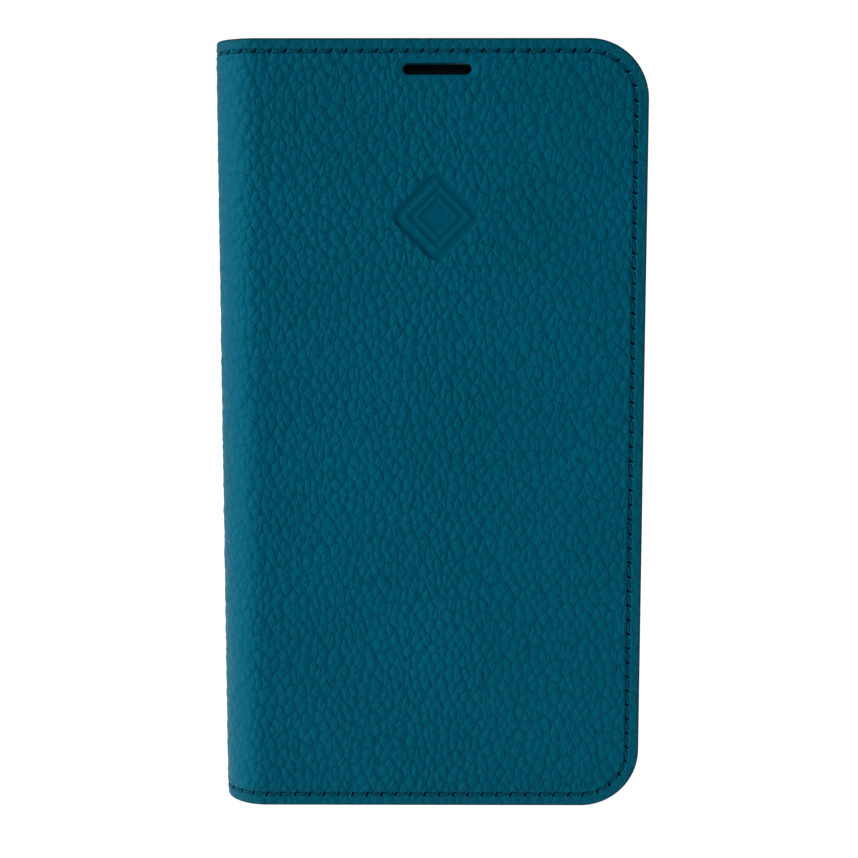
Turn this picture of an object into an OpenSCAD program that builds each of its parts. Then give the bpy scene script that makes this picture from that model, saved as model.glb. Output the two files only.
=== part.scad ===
// Folio wallet case for a phone: a leather book cover wrapped round a moulded phone shell.
// The closed case stands on its bottom edge. +X points to the free edge, -X to the spine,
// -Y to the front cover, +Y to the back cover and +Z to the top. The origin is the middle of
// the bottom of the closed case. All sizes are millimetres.

/* [Phone] */
// Height of the phone that the shell holds
phone_h = 150.9; // [138:0.1:162]
// Width of the phone
phone_w = 75.7; // [67:0.1:79]
// Thickness of the phone
phone_d = 8.3; // [7.4:0.1:9]
// Radius of the phone's corners seen from the front
phone_corner_r = 11; // [9:0.5:13]

/* [Shell] */
// Wall thickness of the moulded shell's sides
shell_wall = 1.5; // [1.2:0.1:1.8]
// Thickness of the shell's floor behind the phone
shell_floor = 1.4; // [1:0.1:1.6]
// Height of the lip in front of the phone's glass
shell_lip = 0.8; // [0.5:0.1:1]
// How far the lip reaches over the phone's front
lip_reach = 1; // [0.6:0.1:1.4]
// Radius of the shell's back edge
shell_back_r = 3; // [2:0.1:3.4]
// Width and height of the opening for the phone's cameras
camera_size = 31; // [26:1:33]
// Corner radius of the camera opening
camera_r = 8; // [5:0.5:10]

/* [Buttons] */
// Length of each volume button cover
volume_length = 11; // [9:0.5:12]
// Length of the side button cover
side_length = 17; // [12:0.5:20]
// Width of the button covers
button_w = 3.4; // [2.8:0.1:4]
// How far a button cover stands out of the shell's side
button_proud = 0.5; // [0.4:0.05:0.7]

/* [Cover] */
// Thickness of the outer leather
leather_t = 1.4; // [1.1:0.1:1.6]
// Thickness of the stiffening boards
board_t = 1; // [0.7:0.1:1.2]
// Thickness of the lining
lining_t = 0.6; // [0.5:0.1:0.7]
// Thickness of one layer of pocket leather
pocket_t = 0.6; // [0.4:0.05:0.7]
// How far the covers reach past the shell at the top and bottom
end_overhang = 1.55; // [1.4:0.05:3]
// How far the covers reach past the shell at the free side
free_overhang = 2.6; // [2:0.1:3.5]
// Radius of the cover corners on the free side
corner_r = 12; // [9:0.5:16]

/* [Spine] */
// Room between the shell and the outside of the spine
spine_room = 5.4; // [5:0.1:7]
// Height of the flat band between the spine's two quarter rounds
spine_flat = 1.4; // [0.6:0.1:3]

/* [Front details] */
// Length of the earpiece slot
slot_length = 13.6; // [9:0.1:16]
// Width of the earpiece slot
slot_w = 2.2; // [1.6:0.1:2.8]
// Distance from the top edge to the middle of the earpiece slot
slot_drop = 6; // [5.5:0.1:8]
// Corner-to-corner size of the pressed ornament
ornament_size = 19; // [12:0.5:24]
// Distance from the top edge to the middle of the pressed ornament
ornament_drop = 35; // [28:0.5:44]

/* [Stitching] */
// Distance from the cover's edge to the row of stitches
seam_inset = 2.5; // [2:0.1:3]
// Distance from one stitch to the next
stitch_pitch = 3; // [2.8:0.1:4]
// Length of one stitch
stitch_length = 2.3; // [1.8:0.1:2.4]
// Width of the thread
thread_w = 0.5; // [0.4:0.05:0.6]

/* [Pockets] */
// Width of the card pocket panels
card_panel_w = 64; // [58:0.5:64]
// Height of the lowest card pocket's mouth above the bottom edge
card_mouth_z = 75; // [60:1:78]
// Step from one card pocket's mouth to the next
card_step = 15; // [10:1:15]

/* [Hidden] */

// Smoothness of round surfaces, and how far a cut runs past the face that it opens
$fn = 64;
past = 1;

// Thin layers, gaps and the groove that the stitches lie in
adhesive_t = 0.3;
adhesive_inset = 4;
adhesive_r = 6;
closed_gap = 0.8;
pocket_layers = 4;
groove_depth = 0.4;
groove_w = 0.7;
stitch_sink = 0.05;
inner_stitch_t = 0.3;

// The shell
shell_w = phone_w + 2 * shell_wall;
shell_h = phone_h + 2 * shell_wall;
shell_d = phone_d + shell_floor + shell_lip;
shell_corner_r = phone_corner_r + shell_wall;
shell_front_r = 1.1;
phone_edge_r = 2.4;

// The closed case
cover_t = leather_t + board_t + lining_t;
case_h = shell_h + 2 * end_overhang;
case_w = shell_w + spine_room + free_overhang;
case_d = 2 * cover_t + pocket_layers * pocket_t + closed_gap + shell_d + adhesive_t;
x_free = case_w / 2;
x_spine = -case_w / 2;
y_front = -case_d / 2;
y_back = case_d / 2;
inner_front = y_front + cover_t;
inner_back = y_back - cover_t;

// Where the shell stands in the case
shell_x = x_free - free_overhang - shell_w / 2;
shell_z = case_h / 2;
shell_back = inner_back - adhesive_t;
phone_top = shell_z + phone_h / 2;
phone_mid = shell_floor + phone_d / 2;

// The rounded spine: two quarter rounds, each folding at a crease in its middle
spine_r = (case_d - spine_flat) / 2;
arc_x = x_spine + spine_r;
front_arc_y = y_front + spine_r;
crease_at = 45;
crease_gap = 3;
stiffener_t = 0.5;
board_edge_x = arc_x + 2;
board_clearance = 0.3;

// The camera opening, and the collar of the shell that lines it
camera_inset = 19;
camera_x = shell_x + phone_w / 2 - camera_inset;
camera_z = phone_top - camera_inset;
collar_t = 0.8;
collar_gap = 0.2;
collar_sink = 0.3;

// The buttons and the mute switch, as distances below the phone's top
volume_up_drop = 40;
volume_down_drop = 54;
side_button_drop = 43;
mute_drop = 24.5;
mute_length = 8;
mute_w = 3.6;
button_gap = 0.15;
button_cap_inset = 0.35;

// The openings in the shell's bottom wall
port_length = 13;
port_w = 5.6;
speaker_d = 1.6;
speaker_pitch = 3.2;
speaker_count = 4;
speaker_start = 11;

// The closure magnets and the steel plates that they pull on
magnet_length = 14;
magnet_w = 5;
magnet_inset = 7.5;
magnet_spread = 30;
magnet_gap = 0.1;

// The pockets
mouth_x = arc_x + 2.4;
card_bottom_z = 4.4;
card_top_r = 2;
card_seam_inset = 1.5;

// The seam round a cover: along the top, round a corner, down the free side, and back
seam_r = corner_r - seam_inset;
seam_run = x_free - corner_r - arc_x;
seam_turn = seam_r * PI / 2;
seam_fall = case_h - 2 * corner_r;
seam_total = 2 * seam_run + 2 * seam_turn + seam_fall;
seam_count = floor(seam_total / stitch_pitch);
seam_step = seam_total / seam_count;
stitch_slant = 7;
arc_stitches = 2;

// Colours
leather_colour = [0.00, 0.31, 0.40];
lining_colour = [0.05, 0.17, 0.21];
board_colour = [0.55, 0.50, 0.42];
shell_colour = [0.09, 0.10, 0.11];
metal_colour = [0.66, 0.67, 0.69];
tape_colour = [0.85, 0.85, 0.80];

// ---- Outlines --------------------------------------------------------------------------------

// The outline of a cover from x0 to the free side, set in from its other three edges
module cover_outline(x0, inset = 0) {
    r = corner_r - inset;
    right = x_free - inset;
    translate([x0, inset])
        square([right - r - x0, case_h - 2 * inset]);
    translate([x0, inset + r])
        square([right - x0, case_h - 2 * (inset + r)]);
    for (z = [inset + r, case_h - inset - r])
        translate([right - r, z])
            circle(r);
}

// A slot with round ends, centred on the origin
module stadium(length, width) {
    square([length - width, width], center = true);
    for (side = [-1, 1])
        translate([side * (length - width) / 2, 0])
            circle(d = width);
}

// A rectangle with round corners, centred on the origin
module rounded_rectangle(w, h, r) {
    square([w - 2 * r, h], center = true);
    square([w, h - 2 * r], center = true);
    for (sx = [-1, 1], sy = [-1, 1])
        translate([sx * (w / 2 - r), sy * (h / 2 - r)])
            circle(r);
}

// The camera opening's outline, larger all round by margin
module camera_outline(margin = 0) {
    size = camera_size + 2 * margin;
    translate([camera_x, camera_z])
        rounded_rectangle(size, size, camera_r + margin);
}

// The earpiece slot's outline, larger all round by margin
module earpiece_outline(margin = 0) {
    translate([shell_x, case_h - slot_drop])
        stadium(slot_length + 2 * margin, slot_w + 2 * margin);
}

// ---- Sheets and slabs ------------------------------------------------------------------------

// An outline drawn in X and Z, made thick along +Y from y
module sheet_at(y, thickness) {
    translate([0, y + thickness, 0])
        rotate([90, 0, 0])
            linear_extrude(thickness)
                children();
}

// The section of a layer round the spine's front quarter round, between two angles from -X
// towards -Y, where 0 is the flat band and 90 the cover
module round_section(r_out, thickness, from, to) {
    reach = 2 * r_out;
    translate([arc_x, front_arc_y])
        intersection() {
            difference() {
                circle(r_out);
                circle(r_out - thickness);
            }
            polygon([
                [0, 0],
                [-reach * cos(from), -reach * sin(from)],
                [-reach, -reach],
                [-reach * cos(to), -reach * sin(to)]
            ]);
        }
}

// The section of a layer of a cover: its half of the quarter round, and its flat part up to x_to
module cover_section(depth, thickness, x_to = x_free) {
    round_section(spine_r - depth, thickness, crease_at + crease_gap / 2, 90);
    translate([arc_x, y_front + depth])
        square([x_to - arc_x, thickness]);
}

// A section drawn in X and Y, made as high as the case and cut to the cover's outline
module cover_layer() {
    intersection() {
        linear_extrude(case_h)
            children();
        sheet_at(y_front, case_d)
            cover_outline(x_spine);
    }
}

// The section of a slab's edge: its back corner has radius r_low and its front corner r_high
module edge_section(reach, d, r_low, r_high) {
    difference() {
        square([reach, d]);
        translate([reach - r_low, -past])
            square([r_low + past, r_low + past]);
        translate([reach - r_high, d - r_high])
            square([r_high + past, r_high + past]);
    }
    intersection() {
        square([reach, d]);
        translate([reach - r_low, r_low])
            circle(r_low);
    }
    intersection() {
        square([reach, d]);
        translate([reach - r_high, d - r_high])
            circle(r_high);
    }
}

// A slab w by h with round corners and rounded edges, drawn flat with its back at z = 0
module soft_slab(w, h, d, corner, r_low, r_high) {
    x = w / 2 - corner;
    y = h / 2 - corner;
    translate([-x, -y, 0])
        cube([2 * x, 2 * y, d]);
    for (half_turn = [0, 180])
        rotate(half_turn) {
            translate([x, y, 0])
                rotate([90, 0, 0])
                    linear_extrude(2 * y)
                        edge_section(corner, d, r_low, r_high);
            rotate(90)
                translate([y, x, 0])
                    rotate([90, 0, 0])
                        linear_extrude(2 * x)
                            edge_section(corner, d, r_low, r_high);
            translate([x, y, 0])
                rotate_extrude(angle = 90)
                    edge_section(corner, d, r_low, r_high);
            translate([-x, y, 0])
                rotate(90)
                    rotate_extrude(angle = 90)
                        edge_section(corner, d, r_low, r_high);
        }
}

// Turns what is drawn flat on the shell's back, middle at the origin, to its place in the case
module in_shell() {
    translate([shell_x, shell_back, shell_z])
        rotate([90, 0, 0])
            children();
}

// A hole or a cap along X at the shell's side, from x0 to x0 + depth, drop below the phone's top
module side_stadium(x0, depth, drop, length, width) {
    translate([x0, phone_h / 2 - drop, phone_mid])
        rotate([90, 0, 90])
            linear_extrude(depth)
                stadium(length, width);
}

// ---- Seams -----------------------------------------------------------------------------------

// Place and direction of the point at distance s along the seam: [x, z, angle]
function seam_point(s) =
    s < seam_run ? [arc_x + s, case_h - seam_inset, 0]
    : s < seam_run + seam_turn ? corner_point(s - seam_run, 0)
    : s < seam_run + seam_turn + seam_fall
        ? [x_free - seam_inset, case_h - corner_r - (s - seam_run - seam_turn), -90]
    : s < seam_total - seam_run ? corner_point(s - seam_run - seam_turn - seam_fall, 1)
    : [arc_x + seam_total - s, seam_inset, -180];

// The same for a point at distance s round the top corner (which = 0) or the bottom one (1)
function corner_point(s, which) =
    let (a = s / seam_r * 180 / PI, turned = a + 90 * which)
    [
        x_free - corner_r + seam_r * sin(turned),
        (which == 0 ? case_h - corner_r : corner_r) + seam_r * cos(turned),
        -turned
    ];

// The stitches of a cover's flat part, lying on y = face and made thick along +Y
module flat_stitches(face, thickness, x_from, x_to) {
    for (i = [0 : seam_count - 1]) {
        p = seam_point((i + 0.5) * seam_step);
        if (p[0] > x_from && p[0] < x_to)
            sheet_at(face, thickness)
                translate([p[0], p[1]])
                    rotate(p[2] + stitch_slant)
                        stadium(stitch_length, thread_w);
    }
}

// The stitches round one half of the spine's front quarter round, from angle a0 on
module arc_stitch_rows(a0) {
    span = crease_at / arc_stitches;
    turn = stitch_length / spine_r * 180 / PI;
    for (z = [seam_inset, case_h - seam_inset], i = [0 : arc_stitches - 1])
        translate([arc_x, front_arc_y, z - thread_w / 2])
            rotate(a0 + (i + 0.5) * span - turn / 2)
                rotate_extrude(angle = turn)
                    translate([spine_r - groove_depth, 0])
                        square([groove_depth - stitch_sink, thread_w]);
}

// A groove's section drawn in X and Y, run along the top and the bottom row of stitches
module end_grooves() {
    for (z = [seam_inset, case_h - seam_inset])
        translate([0, 0, z - groove_w / 2])
            linear_extrude(groove_w)
                children();
}

// The groove that the stitches of a cover lie in, open towards -Y
module cover_groove() {
    corner_x = x_free - corner_r;
    end_grooves()
        cover_section(-past, past + groove_depth, corner_x);
    sheet_at(y_front - past, past + groove_depth)
        difference() {
            cover_outline(corner_x - past, seam_inset - groove_w / 2);
            cover_outline(corner_x - 2 * past, seam_inset + groove_w / 2);
        }
}

// ---- Layers of a cover, drawn for the front and mirrored for the back --------------------------

module on_back() {
    mirror([0, 1, 0])
        children();
}

module cover_leather() {
    difference() {
        cover_layer()
            cover_section(0, leather_t);
        cover_groove();
    }
}

module cover_board() {
    difference() {
        sheet_at(y_front + leather_t, board_t)
            cover_outline(board_edge_x);
        magnets_at(y_front + leather_t - past, board_t + 2 * past, magnet_gap);
    }
}

// The lining steps down from the board onto the leather beside the spine
module cover_lining() {
    under = y_front + leather_t;
    cover_layer() {
        round_section(spine_r - leather_t, lining_t, crease_at + crease_gap / 2, 90);
        polygon([
            [arc_x, under],
            [board_edge_x, inner_front - lining_t],
            [x_free, inner_front - lining_t],
            [x_free, inner_front],
            [board_edge_x, inner_front],
            [arc_x, under + lining_t]
        ]);
    }
}

module magnets_at(y, thickness, margin = 0) {
    for (side = [-1, 1])
        sheet_at(y, thickness)
            translate([x_free - magnet_inset, case_h / 2 + side * magnet_spread])
                square([magnet_w + 2 * margin, magnet_length + 2 * margin], center = true);
}

// The section of one layer of the spine between the creases
module spine_section(r_out, thickness) {
    for (side = [0, 1])
        mirror([0, side])
            round_section(r_out, thickness, 0, crease_at - crease_gap / 2);
    translate([arc_x - r_out, front_arc_y])
        square([thickness, -2 * front_arc_y]);
}

// ---- Front cover -----------------------------------------------------------------------------

// A rhombus ring round a small rhombus, pressed into the leather
module ornament_outline() {
    side = ornament_size / sqrt(2);
    line = side / 9;
    rotate(45) {
        difference() {
            rounded_rectangle(side, side, line * 1.5);
            rounded_rectangle(side - 2 * line, side - 2 * line, line / 2);
        }
        rounded_rectangle(side / 3, side / 3, line / 2);
    }
}

module front_leather() {
    ornament_depth = 0.3;
    color(leather_colour)
        difference() {
            cover_leather();
            sheet_at(y_front - past, leather_t + 2 * past)
                earpiece_outline();
            sheet_at(y_front - past, past + ornament_depth)
                translate([shell_x, case_h - ornament_drop])
                    ornament_outline();
        }
}

module front_board() {
    color(board_colour)
        difference() {
            cover_board();
            sheet_at(y_front, case_d)
                earpiece_outline(board_clearance);
        }
}

module front_lining() {
    color(lining_colour)
        difference() {
            cover_lining();
            sheet_at(y_front, case_d)
                earpiece_outline();
        }
}

module front_magnets() {
    color(metal_colour)
        magnets_at(y_front + leather_t, board_t);
}

module front_thread() {
    under = inner_front;
    color(leather_colour) {
        flat_stitches(y_front + stitch_sink, groove_depth - stitch_sink, arc_x, x_free);
        arc_stitch_rows(180 + crease_at);
        flat_stitches(under, inner_stitch_t, board_edge_x, mouth_x - stitch_length / 2);
        flat_stitches(under + pocket_t, inner_stitch_t, mouth_x + stitch_length / 2, x_free);
    }
}

// ---- Pockets ---------------------------------------------------------------------------------

module bill_pocket() {
    color(leather_colour)
        difference() {
            sheet_at(inner_front, pocket_t)
                cover_outline(mouth_x);
            sheet_at(y_front, case_d)
                earpiece_outline();
        }
}

// One card pocket: it lies on the given number of layers, and its mouth is steps above the lowest
module card_pocket(layers, steps) {
    height = card_mouth_z + steps * card_step - card_bottom_z;
    color(leather_colour)
        sheet_at(inner_front + layers * pocket_t, pocket_t)
            translate([shell_x, card_bottom_z + height / 2])
                rounded_rectangle(card_panel_w, height, card_top_r);
}

module card_pocket_upper() {
    card_pocket(1, 2);
}

module card_pocket_middle() {
    card_pocket(2, 1);
}

module card_pocket_lower() {
    card_pocket(3, 0);
}

// A row of stitches on a card pocket's face from p along the direction turn
module pocket_row(p, turn, length, layers) {
    count = floor(length / stitch_pitch);
    sheet_at(inner_front + layers * pocket_t, inner_stitch_t)
        for (i = [0 : count - 1])
            translate(p)
                rotate(turn)
                    translate([(i + 0.5) * length / count, 0])
                        rotate(stitch_slant)
                            stadium(stitch_length, thread_w);
}

module pocket_thread() {
    side = card_panel_w / 2 - card_seam_inset;
    bottom = card_bottom_z + card_seam_inset;
    color(leather_colour) {
        for (sx = [-1, 1]) {
            pocket_row([shell_x + sx * side, bottom + 1], 90, card_mouth_z - bottom - 1, 4);
            for (i = [0, 1])
                pocket_row([shell_x + sx * side, card_mouth_z + i * card_step], 90, card_step, 3 - i);
        }
        pocket_row([shell_x - side + 1, bottom], 0, 2 * side - 2, 4);
    }
}

// ---- Spine -----------------------------------------------------------------------------------

module spine_leather() {
    color(leather_colour)
        difference() {
            linear_extrude(case_h)
                spine_section(spine_r, leather_t);
            end_grooves()
                spine_section(spine_r + past, past + groove_depth);
        }
}

module spine_stiffener() {
    color(board_colour)
        linear_extrude(case_h)
            spine_section(spine_r - leather_t, stiffener_t);
}

module spine_lining() {
    color(lining_colour)
        linear_extrude(case_h)
            spine_section(spine_r - leather_t - stiffener_t, lining_t);
}

module spine_thread() {
    color(leather_colour)
        for (side = [0, 1])
            mirror([0, side, 0])
                arc_stitch_rows(180);
}

// ---- Back cover ------------------------------------------------------------------------------

module camera_cut() {
    sheet_at(0, case_d)
        camera_outline(collar_t + collar_gap);
}

module back_leather() {
    color(leather_colour)
        difference() {
            on_back()
                cover_leather();
            camera_cut();
        }
}

module back_board() {
    color(board_colour)
        difference() {
            on_back()
                cover_board();
            camera_cut();
        }
}

module back_lining() {
    color(lining_colour)
        difference() {
            on_back()
                cover_lining();
            camera_cut();
        }
}

module back_keepers() {
    color(metal_colour)
        on_back()
            magnets_at(y_front + leather_t, board_t);
}

module back_thread() {
    color(leather_colour)
        on_back() {
            flat_stitches(y_front + stitch_sink, groove_depth - stitch_sink, arc_x, x_free);
            arc_stitch_rows(180 + crease_at);
            flat_stitches(inner_front, inner_stitch_t, board_edge_x, x_free);
        }
}

// ---- Shell -----------------------------------------------------------------------------------

// The adhesive sheet fills the shell's back below the camera opening
module shell_adhesive() {
    bottom = shell_z - shell_h / 2 + adhesive_inset;
    top = camera_z - camera_size / 2 - adhesive_inset;
    color(tape_colour)
        sheet_at(shell_back, adhesive_t)
            translate([shell_x, (top + bottom) / 2])
                rounded_rectangle(shell_w - 2 * adhesive_inset, top - bottom, adhesive_r);
}

// The space that the phone fills, and the way out past the lip
module phone_space() {
    translate([0, 0, shell_floor])
        soft_slab(phone_w, phone_h, phone_d, phone_corner_r, phone_edge_r, phone_edge_r);
    translate([0, 0, shell_floor + phone_edge_r])
        linear_extrude(shell_d)
            rounded_rectangle(
                phone_w - 2 * lip_reach,
                phone_h - 2 * lip_reach,
                phone_corner_r - lip_reach
            );
}

// The openings in the shell's bottom wall: the charging port and the speaker holes
module bottom_openings() {
    translate([0, -phone_h / 2 + past, phone_mid])
        rotate([90, 0, 0])
            linear_extrude(shell_wall + 2 * past) {
                stadium(port_length, port_w);
                for (side = [-1, 1], i = [0 : speaker_count - 1])
                    translate([side * (speaker_start + i * speaker_pitch), 0])
                        circle(d = speaker_d);
            }
}

// The openings in the shell's side walls: two volume buttons, the mute switch, the side button
module side_openings() {
    depth = shell_wall + 2 * past;
    left = -shell_w / 2 - past;
    width = button_w + 2 * button_gap;
    for (drop = [volume_up_drop, volume_down_drop])
        side_stadium(left, depth, drop, volume_length + 2 * button_gap, width);
    side_stadium(left, depth, mute_drop, mute_length, mute_w);
    side_stadium(phone_w / 2 - past, depth, side_button_drop, side_length + 2 * button_gap, width);
}

module phone_shell() {
    color(shell_colour) {
        in_shell()
            difference() {
                soft_slab(shell_w, shell_h, shell_d, shell_corner_r, shell_back_r, shell_front_r);
                phone_space();
                bottom_openings();
                side_openings();
                translate([0, 0, -past])
                    linear_extrude(shell_floor + 2 * past)
                        translate([-shell_x, -shell_z])
                            camera_outline();
            }
        sheet_at(shell_back, y_back - collar_sink - shell_back)
            difference() {
                camera_outline(collar_t);
                camera_outline();
            }
    }
}

// ---- Buttons ---------------------------------------------------------------------------------

// A button cover on the shell's +X side: a cap that fills the wall, and a raised pad on it
module button_cover(drop, length) {
    pad_t = button_proud / 2;
    side_stadium(phone_w / 2, shell_wall + button_proud - pad_t, drop, length, button_w);
    side_stadium(
        phone_w / 2 + shell_wall + button_proud - pad_t,
        pad_t,
        drop,
        length - 2 * button_cap_inset,
        button_w - 2 * button_cap_inset
    );
}

module volume_up_button() {
    color(shell_colour)
        in_shell()
            mirror([1, 0, 0])
                button_cover(volume_up_drop, volume_length);
}

module volume_down_button() {
    color(shell_colour)
        in_shell()
            mirror([1, 0, 0])
                button_cover(volume_down_drop, volume_length);
}

module side_button() {
    color(shell_colour)
        in_shell()
            button_cover(side_button_drop, side_length);
}

// ---- What is drawn ---------------------------------------------------------------------------

front_leather();
front_board();
front_lining();
front_magnets();
front_thread();
bill_pocket();
card_pocket_upper();
card_pocket_middle();
card_pocket_lower();
pocket_thread();
spine_leather();
spine_stiffener();
spine_lining();
spine_thread();
back_leather();
back_board();
back_lining();
back_keepers();
back_thread();
shell_adhesive();
phone_shell();
volume_up_button();
volume_down_button();
side_button();
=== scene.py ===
"""Looks of the folio wallet case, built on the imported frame.

Helpers work in millimetres and unrolled places: u runs from the middle of the spine round to the
free edge, z is the height, and depth is measured inwards from the outer leather surface. side is
-1 for the front cover and its half of the spine, and 1 for the back.
"""
import math

import bpy
import numpy as np
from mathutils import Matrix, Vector

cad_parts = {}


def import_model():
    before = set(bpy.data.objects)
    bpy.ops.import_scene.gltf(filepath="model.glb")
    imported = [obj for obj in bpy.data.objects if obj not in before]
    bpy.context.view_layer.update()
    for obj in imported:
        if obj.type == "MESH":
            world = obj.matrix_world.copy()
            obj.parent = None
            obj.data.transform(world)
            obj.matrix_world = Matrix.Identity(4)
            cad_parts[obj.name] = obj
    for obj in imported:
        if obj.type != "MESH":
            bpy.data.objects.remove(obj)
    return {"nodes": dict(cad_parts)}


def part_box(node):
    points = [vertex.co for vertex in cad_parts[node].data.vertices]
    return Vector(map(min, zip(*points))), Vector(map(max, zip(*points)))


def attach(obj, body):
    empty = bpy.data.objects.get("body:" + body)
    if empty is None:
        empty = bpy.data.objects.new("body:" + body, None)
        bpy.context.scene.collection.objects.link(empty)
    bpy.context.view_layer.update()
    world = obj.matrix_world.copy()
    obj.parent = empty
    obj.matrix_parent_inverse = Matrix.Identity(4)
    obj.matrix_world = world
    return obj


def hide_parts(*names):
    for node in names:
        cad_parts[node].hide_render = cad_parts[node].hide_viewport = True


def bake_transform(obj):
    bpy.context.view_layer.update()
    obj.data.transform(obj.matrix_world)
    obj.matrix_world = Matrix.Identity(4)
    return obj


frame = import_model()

MM = 0.001
TINY = 1e-6
FRONT, BACK = -1, 1
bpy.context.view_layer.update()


# ---- Layout in mm, from the frame's boxes ----

def corners(node):
    """A CAD node's lowest and highest corner, in mm."""
    return [np.array(c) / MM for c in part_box(node)]


LEATHER_LOW, LEATHER_HIGH = corners("front_leather")
BILL_LOW, BILL_HIGH = corners("bill_pocket")
X_SPINE = corners("spine_leather")[0][0]
X_FREE, HEIGHT = LEATHER_HIGH[0], LEATHER_HIGH[2]
HALF_DEPTH = -LEATHER_LOW[1]
SHELL_X = sum(c[0] for c in corners("phone_shell")) / 2

# the spine: half of its flat strip, its rounding, and where the covers' flat part starts
FLAT = 0.7
SPINE_R = HALF_DEPTH - FLAT
ARC_X = X_SPINE + SPINE_R
U_ARC = FLAT + SPINE_R * math.pi / 2
U_FREE = U_ARC + X_FREE - ARC_X
CORNER_R = 12.0

# how thick the layers are
LEATHER_T = corners("front_board")[0][1] + HALF_DEPTH
COVER_T = BILL_LOW[1] + HALF_DEPTH
POCKET_T = BILL_HIGH[1] - BILL_LOW[1]
LINING_T = 0.6
STIFFENER_T = 0.5

# the seam, and the band along the edge that holds it
SEAM_INSET = 2.5
PITCH = 3.0
STITCH_L = 2.45
THREAD_W = 0.52
BAND = 4.2

SLOT_Z, SLOT_L, SLOT_W = HEIGHT - 6.0, 13.6, 2.2
ORNAMENT_Z, ORNAMENT_SIZE = HEIGHT - 35.0, 19.0
CAMERA_X, CAMERA_Z, CAMERA_W, CAMERA_R = SHELL_X + 18.85, HEIGHT - 22.05, 33.0, 9.0


def from_x(x):
    """The unrolled place of a point on a cover's flat part."""
    return x - ARC_X + U_ARC


def place(u, z, depth, side):
    """Points in space, in mm, for unrolled places."""
    u, z, depth = np.broadcast_arrays(np.asarray(u, float), z, depth)
    phi = np.clip((u - FLAT) / SPINE_R, 0, math.pi / 2)
    r = SPINE_R - depth
    x = ARC_X - r * np.cos(phi) + np.maximum(u - U_ARC, 0)
    y = np.minimum(u, FLAT) + r * np.sin(phi)
    return np.stack([x, side * y, z], -1)


def smoothstep(x, low, high):
    t = np.clip((x - low) / (high - low), 0, 1)
    return t * t * (3 - 2 * t)


def inside_depth(u):
    """Depth of a cover's inside face: the spine's lining, the step beside the crease, the board."""
    spine = LEATHER_T + STIFFENER_T + LINING_T
    crease = LEATHER_T + LINING_T
    stiffener_end = FLAT + SPINE_R * math.pi / 4
    down = spine + (crease - spine) * smoothstep(u, stiffener_end + 0.2, stiffener_end + 1.6)
    return down + (COVER_T - crease) * smoothstep(u, U_ARC, U_ARC + 2.0)


# ---- Node graphs ----

class Graph:
    """Makes nodes in a shader or geometry tree. An input is a socket or a constant."""

    def __init__(self, tree):
        self.tree = tree

    def node(self, kind, inputs, out=0, **settings):
        made = self.tree.nodes.new(kind)
        for name, value in settings.items():
            setattr(made, name, value)
        for key, value in inputs.items():
            if isinstance(value, bpy.types.NodeSocket):
                self.tree.links.new(value, made.inputs[key])
            else:
                made.inputs[key].default_value = value
        return made.outputs[out]

    def math(self, operation, *values):
        return self.node("ShaderNodeMath", dict(enumerate(values)), operation=operation)

    def plus(self, a, b):
        return self.math("ADD", a, b)

    def minus(self, a, b):
        return self.math("SUBTRACT", a, b)

    def times(self, a, b):
        return self.math("MULTIPLY", a, b)

    def vector(self, operation, *values):
        return self.node("ShaderNodeVectorMath", dict(enumerate(values)), operation=operation)

    def scaled(self, vector, x, y, z=0.0):
        return self.vector("MULTIPLY", vector, (x, y, z))

    def turned(self, vector, degrees):
        settings = {"Vector": vector, "Angle": math.radians(degrees)}
        return self.node("ShaderNodeVectorRotate", settings, rotation_type="Z_AXIS")

    def part(self, vector, axis):
        return self.node("ShaderNodeSeparateXYZ", {"Vector": vector}, out=axis)

    def smooth(self, value, low, high, to_low=0.0, to_high=1.0):
        inputs = {0: value, 1: low, 2: high, 3: to_low, 4: to_high}
        return self.node("ShaderNodeMapRange", inputs, interpolation_type="SMOOTHSTEP")

    def spread(self, noise, to_low=0.0, to_high=1.0):
        """A noise, which hardly leaves 0.3 to 0.7, spread over a range."""
        return self.smooth(noise, 0.3, 0.7, to_low, to_high)

    def noise(self, vector, scale, detail=2.0, roughness=0.5, colour=False):
        inputs = {"Vector": vector, "Scale": scale, "Detail": detail, "Roughness": roughness}
        return self.node("ShaderNodeTexNoise", inputs, out=1 if colour else 0)

    def voronoi(self, vector, scale, feature, randomness=1.0):
        inputs = {"Vector": vector, "Scale": scale, "Randomness": randomness}
        return self.node("ShaderNodeTexVoronoi", inputs, feature=feature, voronoi_dimensions="2D")

    def mix(self, factor, a, b):
        return self.node("ShaderNodeMix", {0: factor, 6: a, 7: b}, out=2, data_type="RGBA")

    def vectors_of(self, name):
        """A mesh attribute, as vectors."""
        return self.node("ShaderNodeAttribute", {}, out=1, attribute_name=name)

    def values_of(self, name):
        """A mesh attribute, as numbers."""
        return self.node("ShaderNodeAttribute", {}, out=2, attribute_name=name)

    def in_object(self):
        """The place in the object's own space, in mm."""
        return self.scaled(self.node("ShaderNodeTexCoord", {}, out=3), 1 / MM, 1 / MM, 1 / MM)

    def spot(self, x, y, wide, tall):
        """1 inside a soft ellipse round x = y = 0."""
        x, y = self.math("DIVIDE", x, wide), self.math("DIVIDE", y, tall)
        return self.smooth(self.plus(self.times(x, x), self.times(y, y)), 0.35, 1.1, 1.0, 0.0)


def warped(g, p, scale, reach):
    """p moved about by smooth noise, by up to half of reach."""
    shift = g.vector("SUBTRACT", g.noise(p, scale, 0.0, colour=True), (0.5, 0.5, 0.5))
    return g.vector("ADD", p, g.scaled(shift, reach, reach))


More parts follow.
